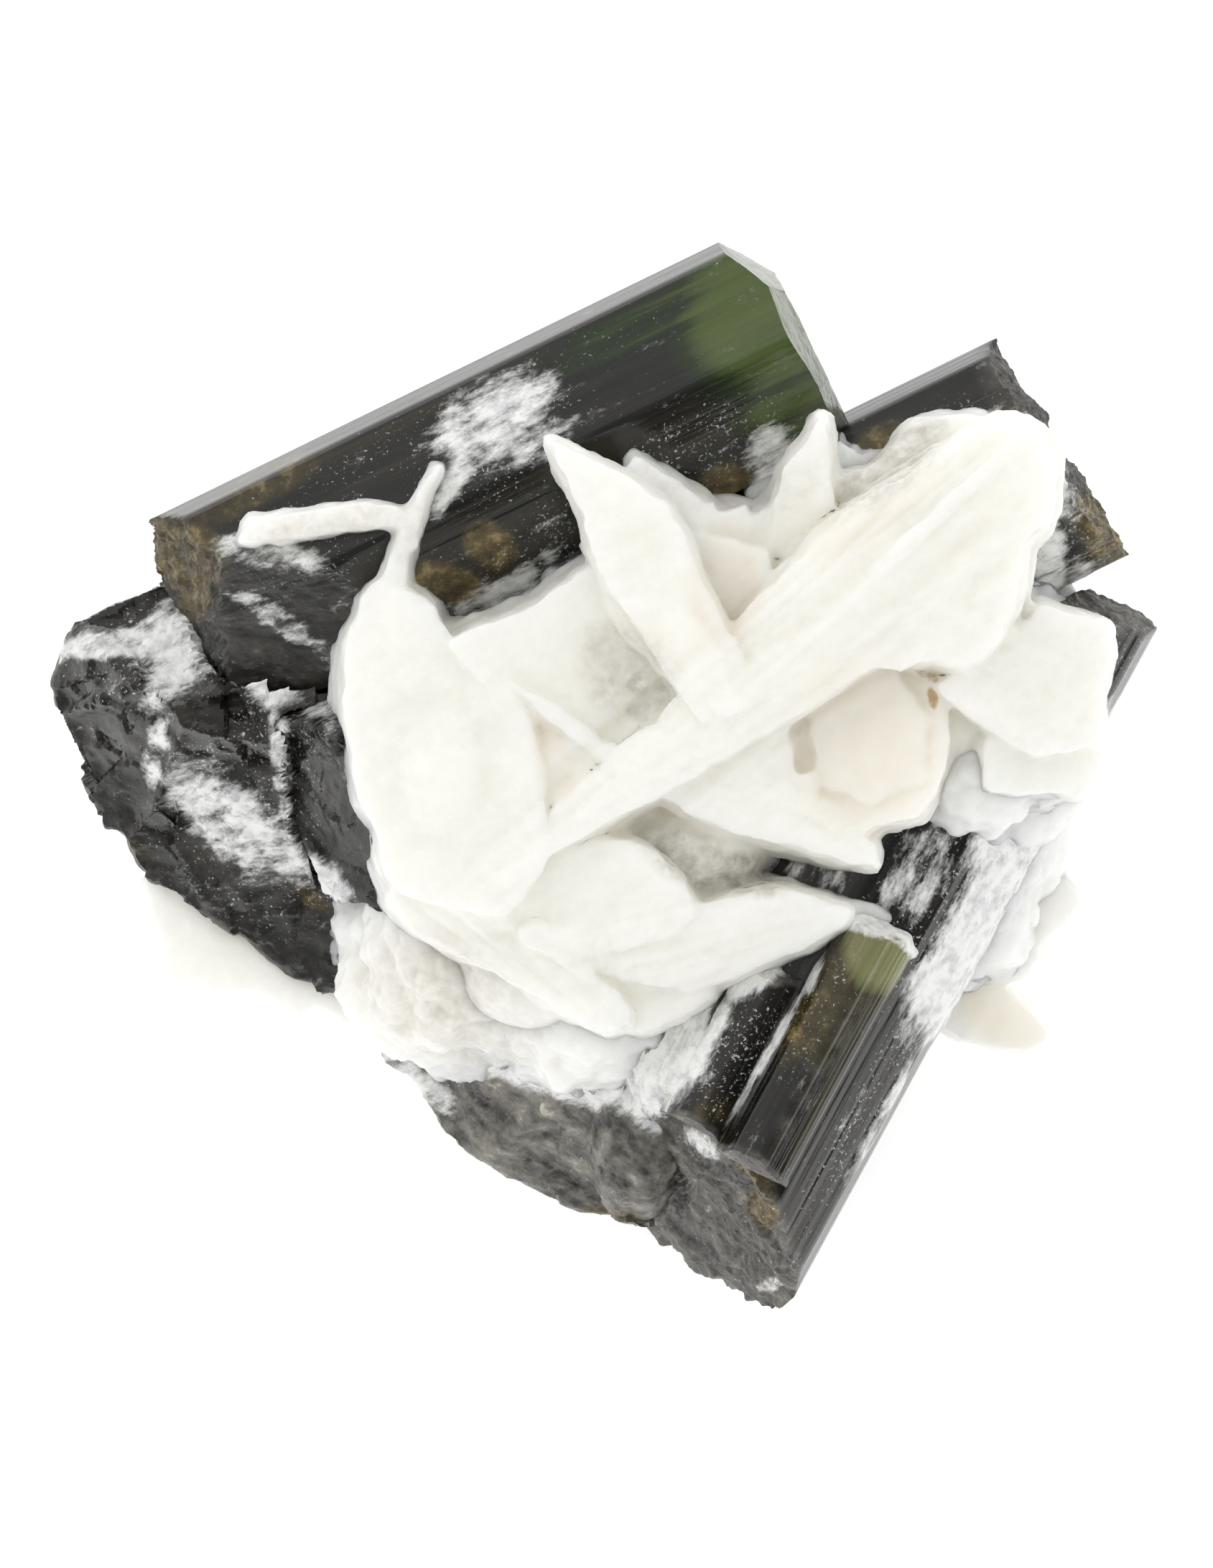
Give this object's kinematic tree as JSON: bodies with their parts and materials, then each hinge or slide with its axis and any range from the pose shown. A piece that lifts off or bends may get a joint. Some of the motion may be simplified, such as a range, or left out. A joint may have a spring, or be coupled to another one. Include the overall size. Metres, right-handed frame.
{
  "type": "green tourmaline crystal specimen on bladed albite",
  "caption": "Green to black tourmaline prisms grown through a rosette of white bladed albite, broken flat below so that the specimen rests on its back.",
  "frame": {"origin": "centre of the footprint, on the flat broken underside of the matrix", "axes": "+Z up from the flat underside; X runs to the right and Y up as the specimen is seen from above"},
  "size_m": [0.0442, 0.0429, 0.0208],
  "materials": {
    "tourmaline_green": "glassy, finely striated along the prism, dark with a green translucent tip",
    "tourmaline_brown": "glassy, dark, with brown stained patches",
    "tourmaline_black": "broken, curved fracture with a glassy sheen",
    "albite_white": "pearly, slightly translucent blades on a granular base"
  },
  "bodies": {
    "root": {"tourmaline_long": "tourmaline_green", "tourmaline_right": "tourmaline_brown", "tourmaline_left": "tourmaline_black", "tourmaline_middle": "tourmaline_black", "tourmaline_lower": "tourmaline_green", "tourmaline_stub": "tourmaline_black", "albite_cluster": "albite_white"}
  },
  "joints": []
}
